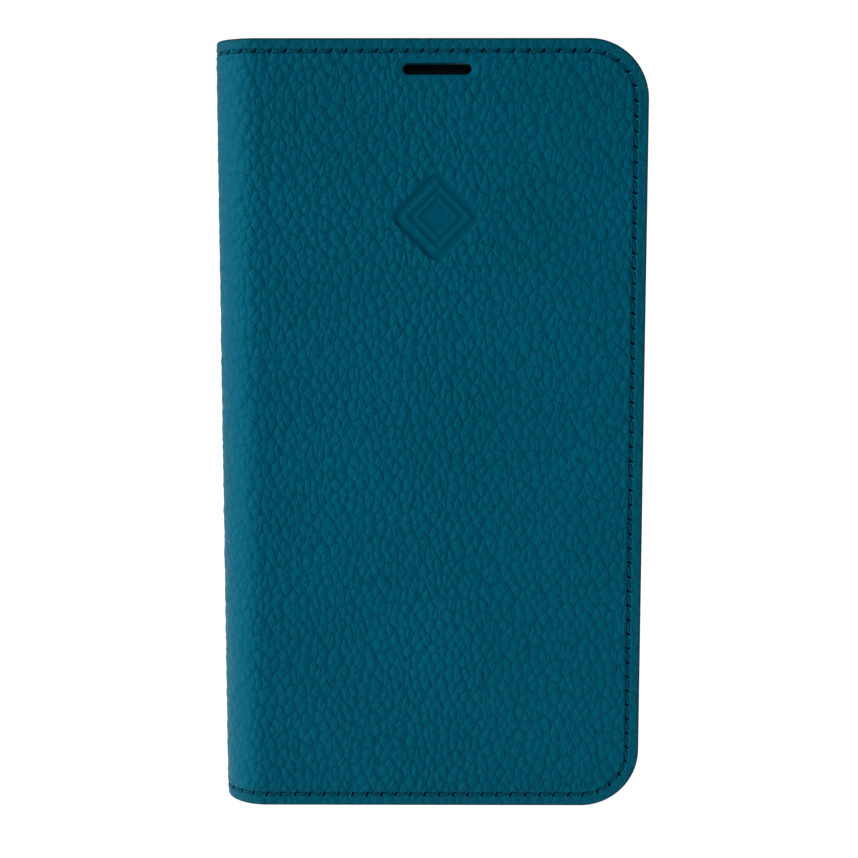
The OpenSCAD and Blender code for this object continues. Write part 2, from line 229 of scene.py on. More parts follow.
def long_creases(g, p, turn, width, height, patches):
    """A few long creases of the hide: 1 on a crease. They run along the wide way of the cells,
    which are 1 / width by 1 / height mm, and show in patches of noise of that scale."""
    cells = g.scaled(g.turned(p, turn), width, height)
    line = g.smooth(g.voronoi(cells, 1.0, "DISTANCE_TO_EDGE"), 0.0, 0.07, 1.0, 0.0)
    return g.times(line, g.smooth(g.noise(p, patches, 0.0), 0.38, 0.56))


def pebbles(g, p):
    """Pebbled grain: 0 in the deepest creases to about 1 on top of the pebbles. p is in mm."""
    soft = warped(g, warped(g, p, scale=0.10, reach=1.6), scale=0.50, reach=0.60)
    lean = g.turned(g.scaled(g.turned(soft, 5.0), 0.60, 0.40), 45.0)
    edge = g.voronoi(lean, 1.0, "DISTANCE_TO_EDGE", randomness=0.78)
    middle = g.voronoi(lean, 1.0, "F1", randomness=0.78)
    opened = g.smooth(g.noise(p, 0.45, 0.0), 0.35, 0.62, to_low=0.45, to_high=1.0)
    crease = g.times(g.smooth(edge, 0.0, 0.21, to_low=0.46, to_high=0.0), opened)
    dome = g.smooth(middle, 0.0, 0.85, to_low=0.65, to_high=0.0)
    small_edge = g.voronoi(g.scaled(g.turned(soft, 35.0), 1.0, 0.85), 1.0, "DISTANCE_TO_EDGE")
    small_crease = g.smooth(small_edge, 0.0, 0.25, to_low=0.16, to_high=0.0)
    upright = long_creases(g, soft, turn=6.0, width=0.24, height=0.075, patches=0.11)
    slanted = long_creases(g, soft, turn=-24.0, width=0.10, height=0.28, patches=0.09)
    long_ones = g.plus(g.times(upright, 0.30), g.times(slanted, 0.36))
    low = g.plus(g.plus(crease, small_crease), long_ones)
    return g.math("MAXIMUM", g.minus(g.plus(0.55, dome), low), 0.0)


def spine_creases(g, p):
    """Soft creases that run across the rounding of the spine, from 0 to 1."""
    soft = warped(g, p, scale=0.3, reach=1.6)
    return g.spread(g.noise(g.scaled(g.turned(soft, -8.0), 0.16, 0.55), 1.0, 2.5))


def sampled(build, u, z):
    """The values of a node graph at unrolled places, so that shapes and shaders agree."""
    mesh = bpy.data.meshes.new("sample")
    mesh.vertices.add(len(u))
    mesh.vertices.foreach_set("co", np.stack([u, z, 0 * u], -1).astype(np.float32).ravel())
    probe = bpy.data.objects.new("sample", mesh)
    bpy.context.scene.collection.objects.link(probe)
    tree = bpy.data.node_groups.new("sample", "GeometryNodeTree")
    for end in ("INPUT", "OUTPUT"):
        tree.interface.new_socket("Geometry", in_out=end, socket_type="NodeSocketGeometry")
    g = Graph(tree)
    value = build(g, g.node("GeometryNodeInputPosition", {}))
    kept = g.node(
        "GeometryNodeStoreNamedAttribute",
        {"Geometry": g.node("NodeGroupInput", {}), "Name": "value", "Value": value},
        data_type="FLOAT",
    )
    tree.links.new(kept, tree.nodes.new("NodeGroupOutput").inputs[0])
    probe.modifiers.new("sample", "NODES").node_group = tree
    done = probe.evaluated_get(bpy.context.evaluated_depsgraph_get()).data
    values = np.zeros(len(u), np.float32)
    done.attributes["value"].data.foreach_get("value", values)
    bpy.data.objects.remove(probe)
    bpy.data.node_groups.remove(tree)
    bpy.data.meshes.remove(mesh)
    return values.astype(float)


# ---- Materials ----

class Look(Graph):
    """A Principled material, its constants set on the shader itself, and its graph."""

    def __init__(self, name, colour, roughness, specular=0.5, **constants):
        self.material = bpy.data.materials.new(name)
        self.material.use_nodes = True
        super().__init__(self.material.node_tree)
        self.shader = self.tree.nodes["Principled BSDF"]
        self.shader.inputs["Base Color"].default_value = colour
        self.shader.inputs["Roughness"].default_value = roughness
        self.shader.inputs["Specular IOR Level"].default_value = specular
        for socket, value in constants.items():
            self.shader.inputs[socket.replace("_", " ").title()].default_value = value

    def finish(self, colour, roughness, height, bump_mm):
        """The material, with its colour, its roughness and a bump of bump_mm linked."""
        inputs = {"Height": height, "Distance": bump_mm * MM, "Strength": 1.0}
        values = {"Base Color": colour, "Roughness": roughness,
                  "Normal": self.node("ShaderNodeBump", inputs)}
        for socket, value in values.items():
            self.tree.links.new(value, self.shader.inputs[socket])
        return self.material


def rgb(red, green, blue):
    return (red, green, blue, 1.0)


TEAL = rgb(0.0, 0.057, 0.096)
TEAL_DARK = rgb(0.0, 0.024, 0.044)
TEAL_LIGHT = rgb(0.0, 0.064, 0.106)
# painted light: the spine's lighter tone stands for the light falling on it from the left
SPINE_PAINTED_LIGHT = rgb(0.0, 0.070, 0.113)
MARGIN_TEAL = rgb(0.002, 0.058, 0.084)
RIM_TEAL = rgb(0.0, 0.016, 0.028)
# painted highlight on the lit leather between the stitches
BRIDGE_PAINTED_HIGHLIGHT = rgb(0.008, 0.20, 0.30)
# painted shade in the needle holes
HOLE_PAINTED_SHADE = rgb(0.0, 0.004, 0.010)

# gloss colours, which keep dark teal from turning grey in the light
LEATHER_GLOSS = rgb(0.0, 0.60, 0.85)
PAINT_GLOSS = rgb(0.1, 0.6, 0.8)
CLOTH_GLOSS = rgb(0.1, 0.7, 0.9)
CLOTH_SHEEN = rgb(0.25, 0.80, 1.0)

# the darker and lighter tone of each other material
PAINT_TONES = rgb(0.0, 0.010, 0.018), rgb(0.0, 0.020, 0.034)
POCKET_TONES = rgb(0.0, 0.060, 0.100), rgb(0.0, 0.082, 0.134)
NAP_TONES = rgb(0.001, 0.022, 0.036), rgb(0.002, 0.044, 0.068)
# the thread's darker tone is its strands and also painted shade of the seam's groove
THREAD_TONES_AND_SHADE = rgb(0.0, 0.028, 0.050), rgb(0.0, 0.058, 0.096)
PLASTIC_TONES = rgb(0.009, 0.010, 0.012), rgb(0.017, 0.018, 0.021)
BOARD_TONES = rgb(0.20, 0.15, 0.10), rgb(0.34, 0.27, 0.19)
BOARD_FLECK = rgb(0.08, 0.06, 0.05)
NICKEL_TONES = rgb(0.52, 0.51, 0.49), rgb(0.66, 0.65, 0.62)
TAPE_TONES = rgb(0.60, 0.60, 0.52), rgb(0.78, 0.78, 0.71)


def seam_marks(g, seam_place):
    """(needle hole, lifted bridge, groove, margin, painted rim), each from 0 to 1, where
    seam_place has the place along the seam in pitches and the distance from the edge in mm. The
    hole and the groove give painted shade, and the bridge a painted highlight."""
    pitches, e = g.part(seam_place, 0), g.part(seam_place, 1)
    v = g.times(g.minus(pitches, g.math("ROUND", pitches)), STEP)
    across = g.minus(e, SEAM_INSET)
    slanted = g.plus(v, g.times(across, 0.45))
    hole = g.spot(g.plus(slanted, 0.24), across, wide=0.38, tall=0.52)
    bridge = g.spot(g.minus(slanted, 0.20), across, wide=0.19, tall=0.46)
    groove = g.smooth(g.math("ABSOLUTE", across), 0.10, 0.60, 1.0, 0.0)
    margin = g.smooth(e, SEAM_INSET - 0.7, SEAM_INSET, 1.0, 0.0)
    return hole, bridge, groove, margin, g.smooth(e, 0.10, 0.60, 1.0, 0.0)


def leather_material():
    """Pebbled calf leather, smoother round the spine, with painted light that makes the spine
    lighter.
    """
    g = Look("pebbled_leather", TEAL, 0.5, 0.12, specular_tint=LEATHER_GLOSS)
    flow, grain, spine = g.vectors_of("flow"), g.values_of("grain"), g.values_of("spine")
    seam_place = g.vectors_of("seam")
    pressed = g.part(seam_place, 2)
    hole, bridge, groove, margin, rim = seam_marks(g, seam_place)
    height = pebbles(g, flow)
    folds = g.times(spine_creases(g, flow), spine)
    micro = g.noise(flow, 7.0, 3.0, 0.6)
    crinkle = g.noise(flow, 2.1, 3.0, 0.55)
    low = g.times(g.minus(1.0, g.smooth(height, 0.05, 0.75)), grain)

    clouds = g.noise(flow, 0.045, 3.0, 0.55)
    colour = g.mix(g.spread(clouds), TEAL, TEAL_LIGHT)
    # painted light: lighter where the spine turns towards the left light
    colour = g.mix(spine, colour, SPINE_PAINTED_LIGHT)
    # low darkens the pebbles' creases and groove the seam's groove, both as painted shade; bridge
    # is a painted highlight and hole painted shade in the needle holes
    for where, amount, tone in (
        (margin, 0.45, MARGIN_TEAL), (pressed, 0.28, TEAL_DARK), (low, 0.24, TEAL_DARK),
        (groove, 0.42, TEAL_DARK), (rim, 0.8, RIM_TEAL), (bridge, 0.85, BRIDGE_PAINTED_HIGHLIGHT),
        (hole, 0.92, HOLE_PAINTED_SHADE),
    ):
        colour = g.mix(g.times(where, amount), colour, tone)

    roughness = g.plus(g.spread(micro, 0.46, 0.58), g.times(low, 0.12))
    roughness = g.plus(roughness, g.times(hole, 0.3))

    relief = g.times(g.plus(height, g.times(crinkle, 0.55)), grain)
    for part, amount in ((folds, 0.5), (micro, 0.08), (bridge, 0.4)):
        relief = g.plus(relief, g.times(part, amount))
    relief = g.minus(relief, g.times(hole, 1.2))
    return g.finish(colour, roughness, relief, bump_mm=0.26)


def edge_material():
    """Dark edge paint that rounds off the cut edges."""
    g = Look("edge_paint", TEAL_DARK, 0.5, 0.06, specular_tint=PAINT_GLOSS)
    flow = g.vectors_of("flow")
    wave = g.noise(flow, 0.9, 3.0, 0.6)
    colour = g.mix(wave, *PAINT_TONES)
    return g.finish(colour, g.spread(wave, 0.48, 0.62), g.noise(flow, 2.4, 3.0, 0.6), bump_mm=0.05)


def fine_leather_material():
    """Thin pocket leather with a fine, even grain."""
    g = Look("pocket_leather", TEAL, 0.5, 0.16, specular_tint=LEATHER_GLOSS)
    flow = g.vectors_of("flow")
    soft = warped(g, flow, scale=0.9, reach=0.6)
    cells = g.smooth(g.voronoi(soft, 1.5, "DISTANCE_TO_EDGE"), 0.0, 0.22)
    colour = g.mix(cells, TEAL_DARK, g.mix(g.noise(flow, 0.07, 3.0), *POCKET_TONES))
    roughness = g.spread(g.noise(flow, 5.0), 0.45, 0.6)
    relief = g.plus(cells, g.times(g.noise(flow, 9.0), 0.4))
    return g.finish(colour, roughness, relief, bump_mm=0.05)


def lining_material():
    """Brushed microfibre: a short nap with soft, cloudy strokes."""
    g = Look("microfibre", rgb(0.0, 0.035, 0.055), 0.95, 0.08, specular_tint=CLOTH_GLOSS,
             sheen_weight=0.16, sheen_roughness=0.5, sheen_tint=CLOTH_SHEEN)
    flow = g.vectors_of("flow")
    strokes = g.noise(g.scaled(flow, 0.35, 0.08), 1.0, 3.0, 0.6)
    nap = g.noise(g.scaled(flow, 9.0, 4.5), 1.0, 3.0, 0.7)
    tone = g.times(g.plus(strokes, nap), 0.5)
    colour = g.mix(g.smooth(tone, 0.35, 0.65), *NAP_TONES)
    return g.finish(colour, g.spread(nap, 0.85, 1.0), nap, bump_mm=0.08)


def thread_material():
    """Waxed twisted thread. The twist is in the shape; this adds the filaments, in tones that reach
    darker than the leather's as painted shade of the seam's groove.
    """
    g = Look("waxed_thread", rgb(0.0, 0.05, 0.085), 0.5, 0.15, specular_tint=CLOTH_GLOSS)
    strand = g.noise(g.scaled(g.vectors_of("flow"), 6.0, 22.0), 1.0, 2.0)
    return g.finish(g.mix(strand, *THREAD_TONES_AND_SHADE), g.spread(strand, 0.4, 0.6), strand, bump_mm=0.03)


def shell_material():
    """Soft moulded plastic: satin black with a fine spark-eroded texture."""
    g = Look("soft_plastic", rgb(0.012, 0.013, 0.015), 0.45, 0.28)
    p = g.in_object()
    grit = g.noise(p, 5.5, 4.0, 0.65)
    smear = g.noise(p, 0.12, 3.0, 0.5)
    roughness = g.plus(g.spread(grit, 0.36, 0.52), g.spread(smear, -0.04, 0.08))
    return g.finish(g.mix(smear, *PLASTIC_TONES), roughness, grit, bump_mm=0.03)


def board_material():
    """Pressed fibre board with flecks."""
    g = Look("fibre_board", rgb(0.27, 0.21, 0.15), 0.9, 0.2)
    p = g.in_object()
    fibre = g.noise(g.scaled(p, 2.2, 2.2, 0.9), 1.0, 5.0, 0.7)
    fleck = g.smooth(g.noise(p, 3.1, 2.0), 0.62, 0.70)
    colour = g.mix(fleck, g.mix(fibre, *BOARD_TONES), BOARD_FLECK)
    return g.finish(colour, g.spread(fibre, 0.85, 0.97), fibre, bump_mm=0.06)


def steel_material():
    """Nickel plate with a fine brushed line."""
    g = Look("nickel_plate", rgb(0.6, 0.59, 0.56), 0.28, 0.5, metallic=1.0)
    line = g.noise(g.scaled(g.in_object(), 1.0, 1.0, 30.0), 1.0, 3.0)
    return g.finish(g.mix(line, *NICKEL_TONES), g.spread(line, 0.2, 0.38), line, bump_mm=0.01)


def tape_material():
    """Milky adhesive sheet."""
    g = Look("adhesive_sheet", rgb(0.7, 0.7, 0.62), 0.4, 0.4)
    cloud = g.noise(g.in_object(), 0.35, 4.0, 0.6)
    return g.finish(g.mix(cloud, *TAPE_TONES), g.spread(cloud, 0.3, 0.5), cloud, bump_mm=0.04)


# ---- Mesh helpers ----

def mesh_object(name, points, faces, looks, slots=None, attributes=None):
    """A smooth mesh object from points in mm. attributes are floats or vectors, one per point."""
    mesh = bpy.data.meshes.new(name)
    mesh.from_pydata((points * MM).tolist(), [], faces)
    for look in looks:
        mesh.materials.append(look)
    if slots is not None:
        mesh.polygons.foreach_set("material_index", np.asarray(slots, np.int32))
    mesh.polygons.foreach_set("use_smooth", np.ones(len(mesh.polygons), bool))
    for key, values in (attributes or {}).items():
        values = np.asarray(values, np.float32)
        kind, field = ("FLOAT", "value") if values.ndim == 1 else ("FLOAT_VECTOR", "vector")
        mesh.attributes.new(key, kind, "POINT").data.foreach_set(field, values.ravel())
    mesh.update()
    made = bpy.data.objects.new(name, mesh)
    bpy.context.scene.collection.objects.link(made)
    return made


def grid_faces(number):
    """The quads of a grid of point numbers."""
    ends = [number[:-1, :-1], number[:-1, 1:], number[1:, 1:], number[1:, :-1]]
    return np.stack(ends, -1).reshape(-1, 4)


class Shape:
    """Points by unrolled place, with further values for each, and the faces between them."""

    def __init__(self, *fields):
        self.at = {key: np.zeros(0) for key in ("u", "z", "depth", *fields)}
        self.faces, self.slots = [], []

    def add(self, u, z, depth, **values):
        """Adds points and gives their numbers. One value may stand for all of them."""
        values.update(u=u, z=z, depth=depth)
        first = len(self.at["u"])
        for key, old in self.at.items():
            new = np.broadcast_to(np.asarray(values.get(key, 0.0), float), np.shape(u))
            self.at[key] = np.concatenate([old, new])
        return np.arange(first, first + len(u))

    def fill(self, faces, slot):
        self.faces += faces
        self.slots += [slot] * len(faces)

    def strip(self, before, after, slot, closed=False):
        """Quads between two lines of points, or between two rings."""
        if closed:
            before, after = np.append(before, before[0]), np.append(after, after[0])
        quads = np.stack([before[:-1], before[1:], after[1:], after[:-1]], -1)
        self.fill(quads.tolist(), slot)

    def drop_unused(self):
        """Leaves out the points that no face uses."""
        used = np.zeros(len(self.at["u"]), bool)
        used[np.concatenate([np.asarray(f) for f in self.faces])] = True
        number = np.cumsum(used) - 1
        self.faces = [number[np.asarray(f)].tolist() for f in self.faces]
        self.at = {key: values[used] for key, values in self.at.items()}

    def made(self, name, side, looks, attributes):
        """The mesh object. Faces that look outwards on the front do so on the mirrored back."""
        points = place(self.at["u"], self.at["z"], self.at["depth"], side)
        faces = self.faces if side == FRONT else [f[::-1] for f in self.faces]
        return mesh_object(name, points, faces, looks, self.slots, attributes)


def spaced(stops, step, fine=()):
    """Places along a line through all stops, about step apart. fine has (low, high, step) for
    each range that is finer."""
    marks = sorted({*stops, *(x for low, high, _ in fine for x in (low, high))})
    marks = [m for m in marks if stops[0] <= m <= stops[-1]]
    places = [marks[0]]
    for low, high in zip(marks, marks[1:]):
        near = [s for a, b, s in fine if a - TINY <= low and high <= b + TINY]
        count = max(1, round((high - low) / min([step, *near])))
        places += [low + (high - low) * (i + 1) / count for i in range(count)]
    return np.array(places)


def rounded_box(du, dz, half_u, half_z, r):
    """Signed distance from a rounded rectangle's outline, negative inside. r may differ by corner:
    (low left, low right, high right, high left)."""
    if np.ndim(r):
        r = np.where(du > 0, np.where(dz > 0, r[2], r[1]), np.where(dz > 0, r[3], r[0]))
    qu, qz = np.abs(du) - half_u + r, np.abs(dz) - half_z + r
    outside = np.hypot(np.maximum(qu, 0), np.maximum(qz, 0))
    return outside + np.minimum(np.maximum(qu, qz), 0) - r


class Outline:
    """A round-cornered outline, by its middle and size in unrolled places."""

    def __init__(self, u, z, width, height, r):
        self.u, self.z, self.half, self.r = u, z, (width / 2, height / 2), r

    @classmethod
    def between(cls, u0, u1, z0, z1, r):
        return cls((u0 + u1) / 2, (z0 + z1) / 2, u1 - u0, z1 - z0, r)

    def distance(self, u, z):
        return rounded_box(u - self.u, z - self.z, *self.half, self.r)

    def off(self, u, z):
        """How far points are off the outline, on average."""
        return np.abs(self.distance(u, z)).mean()

    def nearest(self, u, z, gap):
        """The points moved onto the outline grown by gap, by a few steps down the slope."""
        h = 0.01
        for _ in range(4):
            d = self.distance(u, z) - gap
            gu = (self.distance(u + h, z) - self.distance(u - h, z)) / (2 * h)
            gz = (self.distance(u, z + h) - self.distance(u, z - h)) / (2 * h)
            n = np.maximum(np.hypot(gu, gz), TINY)
            u, z = u - d * gu / n, z - d * gz / n
        return u, z


def loops_of(faces):
    """The boundary loops of a quad mesh, each as point numbers in order."""
    edges = dict.fromkeys((a, b) for f in faces for a, b in zip(f, f[1:] + f[:1]))
    after = {b: a for a, b in edges if (b, a) not in edges}
    loops = []
    while after:
        start, here = next(iter(after.items()))
        loop = [start]
        del after[start]
        while here != start:
            loop.append(here)
            here = after.pop(here)
        loops.append(np.array(loop))
    return loops


# ---- The seam ----

# places along it where the corner, the free side and the low corner start, and where it ends
SEAM_R = CORNER_R - SEAM_INSET
S_CORNER = U_FREE - CORNER_R
S_SIDE = S_CORNER + SEAM_R * math.pi / 2
S_LOW = S_SIDE + HEIGHT - 2 * CORNER_R
S_END = 2 * S_SIDE + HEIGHT - 2 * CORNER_R
STITCHES = round(S_END / PITCH)
STEP = S_END / STITCHES


def seam(s):
    """(u, z, direction in radians) at distance s along the seam from the top of the spine."""
    low = s > (S_SIDE + S_LOW) / 2
    t = S_END - s if low else s
    if t < S_CORNER:
        u, z, a = t, HEIGHT - SEAM_INSET, 0.0
    elif t < S_SIDE:
        a = (t - S_CORNER) / SEAM_R
        u = S_CORNER + SEAM_R * math.sin(a)
        z = HEIGHT - CORNER_R + SEAM_R * math.cos(a)
    else:
        u, z, a = U_FREE - SEAM_INSET, HEIGHT - CORNER_R - (t - S_SIDE), math.pi / 2
    return (u, HEIGHT - z, a - math.pi) if low else (u, z, -a)


def beside_seam(u, z, angle):
    """The place along the seam that points on a line inside it lie beside. angle is their way
    out, from 0 at the top to pi at the bottom."""
    straight, quarter = u < S_CORNER + TINY, math.pi / 2
    return np.select(
        [straight & (angle < 1), straight, angle < quarter - TINY, angle > quarter + TINY],
        [u, S_END - u, S_CORNER + SEAM_R * angle, S_END - S_CORNER - SEAM_R * (math.pi - angle)],
        S_SIDE + HEIGHT - CORNER_R - z,
    )


# ---- Skins ----

FACE, PAINT = 0, 1          # a skin's material slots
FAR = 99.0                  # stands for a point that is nowhere near the edge or the seam
SKIN_STEP = 0.56
FINE_STEP = 0.34
EDGE_ROUND = 0.55
CUT_MARGIN = 0.5            # how far from an opening the grid stops, to move onto its rim
INSIDE_GAP = 0.02

# distances from the edge, of the edge band's lines across the seam
BAND_LINES = [3.95, 3.7, 3.5, 3.3, 3.12, 2.96, 2.82, 2.7, 2.6, 2.5, 2.4, 2.3, 2.18, 2.04, 1.86,
              1.6, 1.3, 1.0, 0.78, 0.6]
# (distance from the edge, depth) round the edge's curve, then (distance, share of the way from
# there to the inside) down the painted edge, then (gap, depth) down an opening's painted rim
ROUNDING = [(EDGE_ROUND * (1 - math.sin(t)), EDGE_ROUND * (1 - math.cos(t)))
            for t in np.linspace(0, math.pi / 2, 6)[1:]]
PAINTED_EDGE = [(-0.05, 0.35), (-0.07, 0.6), (-0.04, 0.86), (0.1, 1.0), (0.35, 1.0)]
PAINTED_RIM = [(0.0, 1.2), (0.0, 2.2), (0.05, COVER_T - INSIDE_GAP), (0.4, COVER_T - INSIDE_GAP),
               (0.4, LEATHER_T)]

# the relief of the outer leather, in mm
GRAIN_HEIGHT, FOLD_HEIGHT = 0.15, 0.16
PRESS_DEPTH, RIB_HEIGHT, PRESSED_SMOOTH = 0.45, 0.32, 0.88
GROOVE_DEPTH, PULL_DEPTH, GROOVE_W = 0.12, 0.32, 0.38
HOLE_DEPTH, HOLE_L, HOLE_W = 0.35, 0.18, 0.24
SEAM_SWELL, MARGIN_DROP = 0.05, 0.10


def ornament_press(u, z):
    """(pressed, raised) of the ornament: 1 on its pressed floor and 1 on top of its two ribs."""
    du, dz = u - from_x(SHELL_X), z - ORNAMENT_Z
    a, b = (du + dz) / math.sqrt(2), (dz - du) / math.sqrt(2)
    side = ORNAMENT_SIZE / math.sqrt(2)
    outer = rounded_box(a, b, side / 2, side / 2, 2.2)
    wide_rib = np.abs(outer + 0.155 * side) - 0.032 * side
    thin_rib = np.abs(outer + 0.285 * side) - 0.018 * side
    raised = 1 - smoothstep(np.minimum(wide_rib, thin_rib), -0.20, 0.20)
    return smoothstep(-outer, -0.15, 0.30), raised


def cover_relief(u, z, e, s, side):
    """(height in mm, grain amount, spine amount) of the outer leather. e is the distance from
    the edge and s the place along the seam."""
    spine = 1 - smoothstep(u, U_ARC - 5.5, U_ARC - 0.5)
    grain = (0.50 + 0.50 * smoothstep(e, 2.4, 3.6)) * (1 - 0.60 * spine)
    folds = spine * smoothstep(e, 1.8, 3.4)
    height = GRAIN_HEIGHT * grain * (sampled(pebbles, -side * u, z) - 0.6)
    height += FOLD_HEIGHT * folds * (sampled(spine_creases, -side * u, z) - 0.5)
    if side == FRONT:
        pressed, raised = ornament_press(u, z)
        smooth = 1 - PRESSED_SMOOTH * pressed
        height = height * smooth - PRESS_DEPTH * pressed + RIB_HEIGHT * raised
        grain = grain * smooth
    across = e - SEAM_INSET
    cycle = np.abs((s / STEP) % 1 - 0.5) * STEP
    pulled = 1 - smoothstep(cycle, STITCH_L / 2 - 0.05, STITCH_L / 2 + 0.3)
    height -= (GROOVE_DEPTH + PULL_DEPTH * pulled) * np.exp(-((across / GROOVE_W) ** 2))
    hole_at = (cycle - STITCH_L / 2 - 0.05) / HOLE_L
    height -= HOLE_DEPTH * np.exp(-(hole_at ** 2) - (across / HOLE_W) ** 2)
    swell = np.exp(-(((np.abs(across) - 0.85) / 0.4) ** 2))
    height += SEAM_SWELL * swell * (e < BAND + 1)
    height -= MARGIN_DROP * (1 - smoothstep(e, SEAM_INSET - 1.2, SEAM_INSET - 0.2))
    return height, grain, folds


def cover_grid(fine_u, fine_z):
    """(u, z) of the grid inside a cover's edge band, whose rows end on the band's inner line."""
    inner_r = CORNER_R - BAND
    turns = np.linspace(0, math.pi / 2, 19)
    low_z = CORNER_R - inner_r * np.cos(turns)
    low_end = U_FREE - CORNER_R + inner_r * np.sin(turns)
    mid_z = spaced([CORNER_R, HEIGHT - CORNER_R], SKIN_STEP, fine_z)[1:-1]
    rows = np.concatenate([low_z, mid_z, (HEIGHT - low_z)[::-1]])
    ends = np.concatenate([low_end, np.full(len(mid_z), U_FREE - BAND), low_end[::-1]])
    even_to = from_x(SHELL_X + 12)
    columns = spaced([0, U_ARC, even_to, U_FREE - CORNER_R + 3], SKIN_STEP, fine_u)
    share = np.maximum(columns - even_to, 0) / (columns[-1] - even_to)
    u = np.minimum(columns, even_to)[None, :] + share * (ends - even_to)[:, None]
    return u, np.repeat(rows[:, None], len(columns), 1)


def doubled(values):
    """The values, and one between each two."""
    out = np.empty((2 * len(values) - 1, *values.shape[1:]))
    out[::2], out[1::2] = values, (values[1:] + values[:-1]) / 2
    return out


def band_rays(u, z):
    """What the edge band grows along, at each point of its inner line and between each two: the
    centre that it is rounded about, the way out from there, and the place along the seam."""
    centre_u = np.minimum(u, U_FREE - CORNER_R)
    centre_z = np.clip(z, CORNER_R, HEIGHT - CORNER_R)
    away = np.stack([u - centre_u, z - centre_z], -1)
    away /= np.linalg.norm(away, axis=1)[:, None]
    s = beside_seam(u, z, np.arctan2(away[:, 0], away[:, 1]))
    away = doubled(away)
    away /= np.linalg.norm(away, axis=1)[:, None]
    return doubled(centre_u), doubled(centre_z), away[:, 0], away[:, 1], doubled(s)


def add_band(shape, number):
    """Adds the stitched band, the rounded and painted edge, the underside behind the spine and
    the cut in the spine's middle. Returns the rest of the underside's border, in order."""
    # the inner line: the top row, the free side with its corners, the bottom row
    line = np.array([*number[-1, :], *number[-2::-1, -1], *number[0, -2::-1]])
    centre_u, centre_z, way_u, way_z, s = band_rays(shape.at["u"][line], shape.at["z"][line])
    inner = inside_depth(centre_u + way_u * CORNER_R) - INSIDE_GAP
    lines = [(e, 0.0, FACE) for e in BAND_LINES]
    lines += [(e, deep, FACE) for e, deep in ROUNDING]
    lines += [(e, EDGE_ROUND + (inner - EDGE_ROUND) * share, PAINT) for e, share in PAINTED_EDGE]
    lines += [(PAINTED_EDGE[-1][0], LEATHER_T, PAINT)]
    rings = []
    for e, depth, slot in lines:
        u, z = centre_u + way_u * (CORNER_R - e), centre_z + way_z * (CORNER_R - e)
        ring = shape.add(u, z, depth, e=max(e, 0.0), s=s)
        if rings:
            shape.strip(rings[-1], ring, slot)
        else:
            first = np.stack([line[:-1], line[1:], ring[2::2], ring[1::2], ring[:-1:2]], -1)
            shape.fill(first.tolist(), FACE)
        rings.append(ring)

    # the underside behind the spine, between the line's two ends
    under = rings[-1]
    spine_end = int(np.searchsorted(centre_u[: len(s) // 4], U_ARC + 6))
    for i in range(spine_end):
        shape.fill([under[[i + 1, -2 - i, -1 - i, i]].tolist()], FACE)
    # the cut at the middle of the spine
    starts, ends = [int(r[0]) for r in rings], [int(r[-1]) for r in rings]
    shape.fill([[*number[:, 0].tolist(), *starts, *ends[::-1]]], FACE)
    return under[spine_end: len(s) - spine_end]


def add_rim(shape, loop, opening, rest):
    """Adds an opening's rounded and painted rim, and the flat underside between the rim and the
    points rest, as two faces that meet above and below the opening."""
    u, z = shape.at["u"], shape.at["z"]
    before = loop
    profile = [(*stop, FACE) for stop in ROUNDING] + [(*stop, PAINT) for stop in PAINTED_RIM]
    for gap, depth, slot in profile:
        ring_u, ring_z = opening.nearest(u[loop], z[loop], gap)
        ring = shape.add(ring_u, ring_z, depth, e=FAR, s=-FAR, grain=0.1)
        shape.strip(before, ring, slot, closed=True)
        before = ring
    high, low = int(np.argmax(ring_z)), int(np.argmin(ring_z))
    half = len(rest) // 2
    above = int(np.argmin(np.abs(u[rest[:half]] - ring_u[high])))
    below = half + int(np.argmin(np.abs(u[rest[half:]] - ring_u[low])))
    right = np.roll(ring, -low)[: (high - low) % len(ring) + 1].tolist()
    left = np.roll(ring, -high)[: (low - high) % len(ring) + 1].tolist()
    rest = rest.tolist()
    shape.fill([[*rest[above: below + 1], *right]], FACE)
    shape.fill([[*rest[below:], *rest[: above + 1], *left]], FACE)


def add_relief(shape, side, opening):
    """Raises the outer surface by its relief, which calms down beside the opening."""
    at = shape.at
    height, grain, folds = cover_relief(at["u"], at["z"], at["e"], at["s"], side)
    calm = smoothstep(opening.distance(at["u"], at["z"]), EDGE_ROUND * 0.8, EDGE_ROUND + 0.8)
    level = 1 - smoothstep(at["depth"], 0.0, EDGE_ROUND)
    at["depth"] = at["depth"] - height * calm * level
    at["grain"] = grain * (0.3 + 0.7 * calm) * level
    at["spine"] = folds * level


